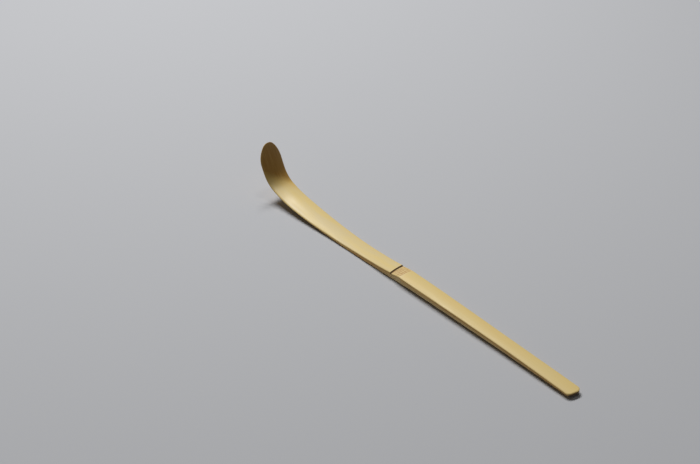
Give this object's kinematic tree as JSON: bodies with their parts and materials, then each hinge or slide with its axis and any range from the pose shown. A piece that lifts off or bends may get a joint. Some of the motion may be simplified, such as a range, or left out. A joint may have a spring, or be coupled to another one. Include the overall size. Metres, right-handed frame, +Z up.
{
  "type": "tea scoop",
  "caption": "Slender bamboo scoop for powdered tea: a tapered flat grip, a stepped node in the middle and a blade that widens and curls up into a rounded scoop.",
  "frame": {"origin": "on the table under the middle of the scoop's length and width", "axes": "+X from the butt to the scoop's tip, +Y across the strip, +Z up, the rind side"},
  "size_m": [0.1692, 0.0108, 0.0236],
  "materials": {
    "bamboo_flesh": "knife-cut, fibrous, matt",
    "bamboo_rind": "natural satin rind, rubbed dry",
    "node_tissue": "satin, slightly orange, wavy cross grain",
    "scar_cork": "dark, corky, matt",
    "diaphragm_wood": "knife-cut, pale, matt"
  },
  "bodies": {
    "root": {"grip_body": "bamboo_flesh", "grip_skin": "bamboo_rind", "node_ridge": "node_tissue", "sheath_scar": "scar_cork", "diaphragm_root": "diaphragm_wood", "blade_body": "bamboo_flesh", "blade_skin": "bamboo_rind"}
  },
  "joints": []
}
